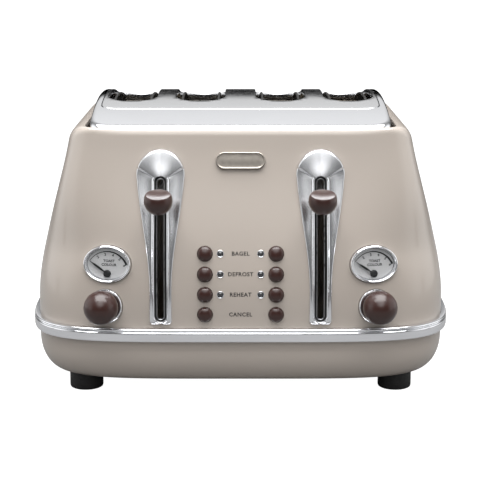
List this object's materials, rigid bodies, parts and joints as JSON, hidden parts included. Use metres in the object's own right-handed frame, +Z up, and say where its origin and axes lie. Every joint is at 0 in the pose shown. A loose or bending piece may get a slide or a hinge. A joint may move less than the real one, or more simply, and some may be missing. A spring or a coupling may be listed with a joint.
{
  "type": "pop up toaster",
  "caption": "Bread toaster with a rounded enamelled casing, chrome belt and arched slotted top; lever bezels, browning gauges with geared needles, push buttons and pull-out crumb trays.",
  "frame": {"origin": "middle of the bounding box, on the plane the feet stand on", "axes": "front faces -Y, +Z up, +X to the right seen from the front, along the longest side"},
  "size_m": [0.33, 0.3078, 0.222],
  "materials": {
    "enamel": "glossy enamel, warm grey beige",
    "chrome": "polished",
    "steel": "plain sheet and wire",
    "brown_plastic": "glossy dark brown",
    "black_plastic": "fine matte",
    "rubber": "matte",
    "dial_face": "silver printed face",
    "clear": "clear",
    "pewter": "aged pewter",
    "mica": "mica sheet",
    "board": "printed board",
    "nylon": "natural nylon"
  },
  "bodies": {
    "casing": {"badge_plate": "pewter", "base_plate": "black_plastic", "belt_trim": "chrome", "bread_guard_left_inner": "steel", "bread_guard_left_outer": "steel", "bread_guard_right_inner": "steel", "bread_guard_right_outer": "steel", "chamber_left": "steel", "chamber_right": "steel", "control_board": "board", "foot_front_left": "rubber", "foot_front_right": "rubber", "foot_rear_left": "rubber", "foot_rear_right": "rubber", "gauge_bezel_left": "chrome", "gauge_bezel_right": "chrome", "gauge_dial_left": "dial_face", "gauge_dial_right": "dial_face", "gauge_lens_left": "clear", "gauge_lens_right": "clear", "guide_rod_left": "steel", "guide_rod_right": "steel", "heater_rack_left": "mica", "heater_rack_right": "mica", "instrument_bracket_left": "steel", "instrument_bracket_right": "steel", "knob_collar_left": "chrome", "knob_collar_right": "chrome", "lamp_guide": "clear", "lever_bezel_left": "chrome", "lever_bezel_right": "chrome", "lift_spring_left": "steel", "lift_spring_right": "steel", "lower_shell": "enamel", "magnet_bracket": "steel", "top_frame": "chrome", "top_plate": "chrome", "upper_shell": "enamel"},
    "bagel_button_left": {"bagel_button_left": "steel"},
    "bagel_button_right": {"bagel_button_right": "steel"},
    "browning_knob_left": {"browning_knob_left": "brown_plastic", "selector_shaft_left": "steel"},
    "browning_knob_right": {"browning_knob_right": "brown_plastic", "selector_shaft_right": "steel"},
    "cancel_button_left": {"cancel_button_left": "steel"},
    "cancel_button_right": {"cancel_button_right": "steel"},
    "carriage_left": {"carriage_left": "steel", "lever_knob_left": "brown_plastic"},
    "carriage_right": {"carriage_right": "steel", "lever_knob_right": "brown_plastic"},
    "crumb_tray_left": {"crumb_tray_left": "steel"},
    "crumb_tray_right": {"crumb_tray_right": "steel"},
    "defrost_button_left": {"defrost_button_left": "steel"},
    "defrost_button_right": {"defrost_button_right": "steel"},
    "gauge_needle_left": {"gauge_needle_left": "black_plastic"},
    "gauge_needle_right": {"gauge_needle_right": "black_plastic"},
    "idler_gear_left": {"idler_gear_left": "nylon"},
    "idler_gear_right": {"idler_gear_right": "nylon"},
    "reheat_button_left": {"reheat_button_left": "steel"},
    "reheat_button_right": {"reheat_button_right": "steel"}
  },
  "joints": [
    {"name": "lever_left", "type": "slide", "parent": "casing", "child": "carriage_left", "axis": [0, 0, 1], "range_m": [-0.086, 0.006], "stiffness_N_per_m": 120, "springref_m": 0.005, "deforming": ["lift_spring_left"]},
    {"name": "browning_left", "type": "hinge", "parent": "casing", "child": "browning_knob_left", "pos_m": [-0.10182, -0.1234, 0.0738], "axis": [0.172, 0.9752, -0.1392], "range_deg": [0, 240]},
    {"name": "idler_left", "type": "hinge", "parent": "casing", "child": "idler_gear_left", "pos_m": [-0.09959, -0.12322, 0.08358], "axis": [0.172, 0.9752, -0.1392], "range_deg": [-241, 1]},
    {"name": "needle_left", "type": "hinge", "parent": "casing", "child": "gauge_needle_left", "pos_m": [-0.10057, -0.12094, 0.09837], "axis": [0.172, 0.9752, -0.1392], "range_deg": [-1, 121]},
    {"name": "tray_left", "type": "slide", "parent": "casing", "child": "crumb_tray_left", "axis": [0, 1, 0], "range_m": [0, 0.16]},
    {"name": "bagel_press_left", "type": "slide", "parent": "casing", "child": "bagel_button_left", "axis": [0, 0.976, -0.218], "range_m": [0, 0.0018], "stiffness_N_per_m": 400},
    {"name": "defrost_press_left", "type": "slide", "parent": "casing", "child": "defrost_button_left", "axis": [0, 0.9862, -0.1657], "range_m": [0, 0.0018], "stiffness_N_per_m": 400},
    {"name": "reheat_press_left", "type": "slide", "parent": "casing", "child": "reheat_button_left", "axis": [0, 0.9959, -0.0909], "range_m": [0, 0.0018], "stiffness_N_per_m": 400},
    {"name": "cancel_press_left", "type": "slide", "parent": "casing", "child": "cancel_button_left", "axis": [0, 1, 0], "range_m": [0, 0.0018], "stiffness_N_per_m": 400},
    {"name": "lever_right", "type": "slide", "parent": "casing", "child": "carriage_right", "axis": [0, 0, 1], "range_m": [-0.086, 0.006], "stiffness_N_per_m": 120, "springref_m": 0.005, "deforming": ["lift_spring_right"]},
    {"name": "browning_right", "type": "hinge", "parent": "casing", "child": "browning_knob_right", "pos_m": [0.10182, -0.1234, 0.0738], "axis": [-0.172, 0.9752, -0.1392], "range_deg": [0, 240]},
    {"name": "idler_right", "type": "hinge", "parent": "casing", "child": "idler_gear_right", "pos_m": [0.09959, -0.12322, 0.08358], "axis": [-0.172, 0.9752, -0.1392], "range_deg": [-241, 1]},
    {"name": "needle_right", "type": "hinge", "parent": "casing", "child": "gauge_needle_right", "pos_m": [0.10057, -0.12094, 0.09837], "axis": [-0.172, 0.9752, -0.1392], "range_deg": [-1, 121]},
    {"name": "tray_right", "type": "slide", "parent": "casing", "child": "crumb_tray_right", "axis": [0, 1, 0], "range_m": [0, 0.16]},
    {"name": "bagel_press_right", "type": "slide", "parent": "casing", "child": "bagel_button_right", "axis": [0, 0.976, -0.218], "range_m": [0, 0.0018], "stiffness_N_per_m": 400},
    {"name": "defrost_press_right", "type": "slide", "parent": "casing", "child": "defrost_button_right", "axis": [0, 0.9862, -0.1657], "range_m": [0, 0.0018], "stiffness_N_per_m": 400},
    {"name": "reheat_press_right", "type": "slide", "parent": "casing", "child": "reheat_button_right", "axis": [0, 0.9959, -0.0909], "range_m": [0, 0.0018], "stiffness_N_per_m": 400},
    {"name": "cancel_press_right", "type": "slide", "parent": "casing", "child": "cancel_button_right", "axis": [0, 1, 0], "range_m": [0, 0.0018], "stiffness_N_per_m": 400}
  ],
  "couplings": [
    {"joint": "idler_left", "follows": "browning_left", "ratio": -1},
    {"joint": "needle_left", "follows": "browning_left", "ratio": 0.5},
    {"joint": "idler_right", "follows": "browning_right", "ratio": -1},
    {"joint": "needle_right", "follows": "browning_right", "ratio": 0.5}
  ]
}
